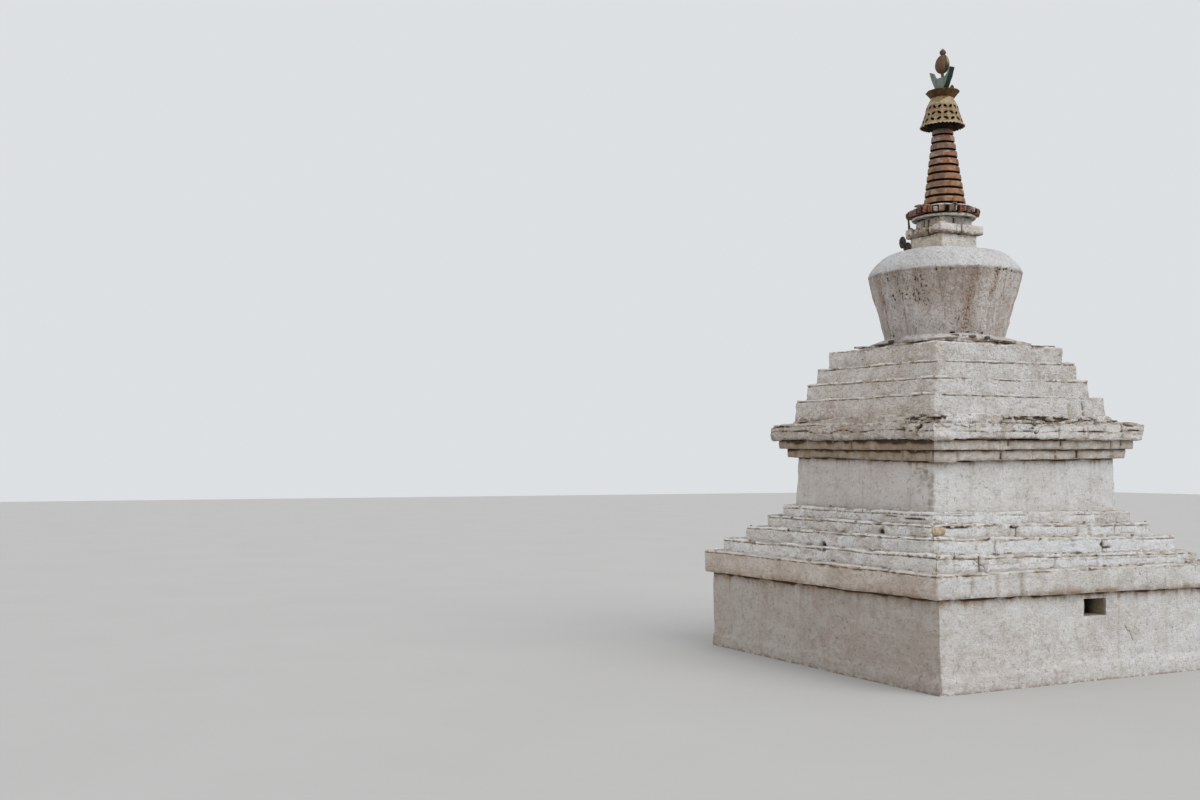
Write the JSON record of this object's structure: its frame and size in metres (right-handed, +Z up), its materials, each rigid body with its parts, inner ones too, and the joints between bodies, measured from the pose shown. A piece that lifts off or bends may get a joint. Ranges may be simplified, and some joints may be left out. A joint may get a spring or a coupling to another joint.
{
  "type": "whitewashed stupa",
  "caption": "Solid square stupa of whitewashed rubble masonry in steps, with a flaring round dome, a square harmika, a crown of bricks and a ringed spire under a bell, crescent and sun.",
  "frame": {"origin": "on the ground at the centre of the square plan", "axes": "+Z up, +X out of the face with the vent, +Y out of the face to the right of that one when it is looked at from outside; the corner at +X and -Y is the near one in the picture"},
  "size_m": [3.586, 3.586, 6.198],
  "materials": {
    "whitewash": "limewash over mud plaster and rubble, stained and chipped",
    "bare_stone": "flat slates with traces of limewash",
    "brick": "rough fired brick, weathered",
    "painted_rings": "worn red-orange paint over grey wood",
    "old_timber": "grey-brown weathered timber",
    "worn_gilding": "dull weathered gilding",
    "green_patina": "green patina",
    "sun_wood": "weathered, with traces of paint",
    "jewel_red": "faded red paint",
    "dark_stone": "rough dark stone"
  },
  "bodies": {
    "root": {"plinth": "whitewash", "plinth_ledge": "whitewash", "lower_step_1": "whitewash", "lower_step_2": "whitewash", "lower_step_3": "whitewash", "throne_curb": "whitewash", "throne_block": "whitewash", "cornice_band_1": "whitewash", "cornice_band_2": "whitewash", "cornice_coping": "whitewash", "rubble_course": "bare_stone", "upper_step_1": "whitewash", "upper_step_2": "whitewash", "upper_step_3": "whitewash", "upper_step_4": "whitewash", "dome_slates": "bare_stone", "dome_skirt": "whitewash", "dome": "whitewash", "harmika_block": "whitewash", "harmika_band": "whitewash", "harmika_neck": "whitewash", "harmika_plate": "whitewash", "brick_crown": "brick", "crown_mortar": "whitewash", "spire_mast": "old_timber", "spire_ring_01": "painted_rings", "spire_ring_02": "painted_rings", "spire_ring_03": "painted_rings", "spire_ring_04": "painted_rings", "spire_ring_05": "painted_rings", "spire_ring_06": "painted_rings", "spire_ring_07": "painted_rings", "spire_ring_08": "painted_rings", "spire_ring_09": "painted_rings", "spire_ring_10": "painted_rings", "spire_ring_11": "painted_rings", "spire_ring_12": "painted_rings", "spire_ring_13": "painted_rings", "umbrella_bell": "worn_gilding", "umbrella_saucer": "worn_gilding", "crescent_moon": "green_patina", "sun_finial": "sun_wood", "jewel_tip": "jewel_red", "corner_prop": "old_timber", "corner_medallion": "dark_stone"}
  },
  "joints": []
}
